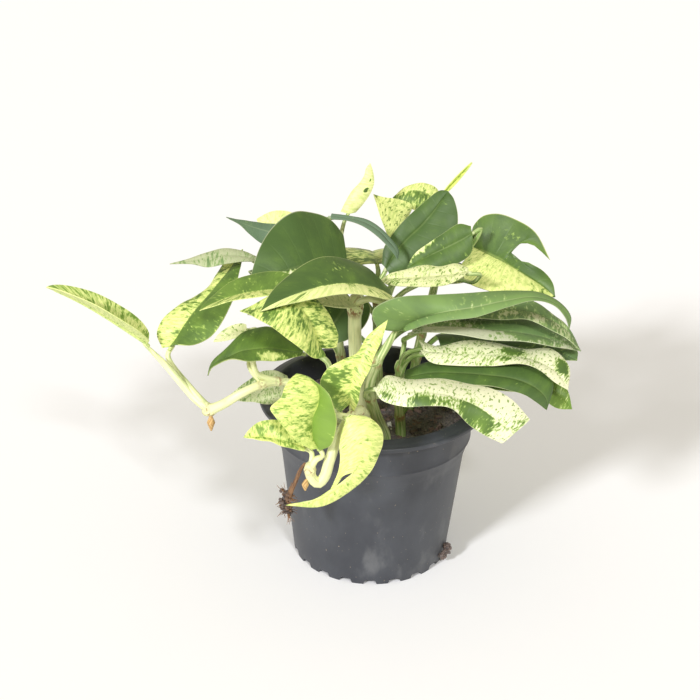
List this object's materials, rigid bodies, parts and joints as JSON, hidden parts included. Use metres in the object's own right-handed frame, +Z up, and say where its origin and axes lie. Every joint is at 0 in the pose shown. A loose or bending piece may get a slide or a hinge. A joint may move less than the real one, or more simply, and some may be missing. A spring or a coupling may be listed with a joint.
{
  "type": "potted pothos plant",
  "caption": "Trailing houseplant with heart-shaped variegated leaves on jointed stems, rising and spilling from a round black nursery pot filled with soil.",
  "frame": {"origin": "middle of the pot's foot, on the ground, where the pot's upright axis meets the surface it stands on", "axes": "+Z up along the pot's axis, +X to the right and -Y to the front as the plant is seen in the picture; the foliage reaches furthest along X"},
  "size_m": [0.3235, 0.2447, 0.2557],
  "materials": {
    "pot_plastic": "satin, thin moulded, slightly dusty",
    "soil": "loose moist potting soil with bark",
    "stem": "smooth, fleshy, pale green",
    "root": "dry, fibrous",
    "leaf_dark": "waxy, satin",
    "leaf_marbled": "waxy, satin, yellow and green marbling",
    "leaf_speckled": "waxy, satin, cream with green specks",
    "leaf_pale": "matte pale underside"
  },
  "bodies": {
    "root": {"pot": "pot_plastic", "soil": "soil", "left_vine": "stem", "front_vine": "stem", "central_stem": "stem", "back_left_stem": "stem", "right_stem": "stem", "right_low_stem": "stem", "back_right_stem": "stem", "back_top_stem": "stem", "front_left_stem": "stem", "back_stem": "stem", "rolled_new_leaf": "leaf_marbled", "left_folded_leaf": "leaf_marbled", "left_band_leaf": "leaf_marbled", "far_left_striped_leaf": "leaf_pale", "high_left_blue_leaf": "leaf_pale", "high_left_cream_leaf": "leaf_marbled", "small_cream_leaf": "leaf_speckled", "left_grey_leaf": "leaf_speckled", "left_dark_leaf": "leaf_dark", "marbled_left_leaf": "leaf_marbled", "big_round_leaf": "leaf_dark", "arched_dark_leaf": "leaf_dark", "narrow_blue_leaf": "leaf_pale", "upright_cream_leaf": "leaf_speckled", "under_arch_cream_leaf": "leaf_speckled", "inner_dark_leaf": "leaf_dark", "top_speckled_leaf": "leaf_speckled", "top_curled_leaf": "leaf_marbled", "new_spike_leaf": "leaf_marbled", "upright_dark_leaf": "leaf_dark", "mid_green_leaf": "leaf_dark", "split_right_leaf": "leaf_marbled", "narrow_speckled_leaf": "leaf_speckled", "long_right_leaf": "leaf_pale", "slotted_right_leaf": "leaf_dark", "grey_right_leaf": "leaf_speckled", "tucked_right_leaf": "leaf_dark", "cream_right_leaf": "leaf_speckled", "dark_right_leaf": "leaf_dark", "tucked_green_leaf": "leaf_dark", "low_speckled_leaf": "leaf_speckled", "small_marbled_leaf": "leaf_marbled", "front_marbled_leaf": "leaf_marbled", "front_green_leaf": "leaf_marbled", "hanging_leaf": "leaf_marbled", "back_left_leaf": "leaf_dark", "back_low_left_leaf": "leaf_speckled", "back_middle_leaf": "leaf_marbled", "back_right_leaf": "leaf_dark", "back_low_right_leaf": "leaf_speckled", "side_right_leaf": "leaf_dark", "side_left_leaf": "leaf_marbled", "hanging_root": "root", "left_root_stub": "root", "front_root_stub": "root", "pot_crumbs": "soil"}
  },
  "joints": []
}
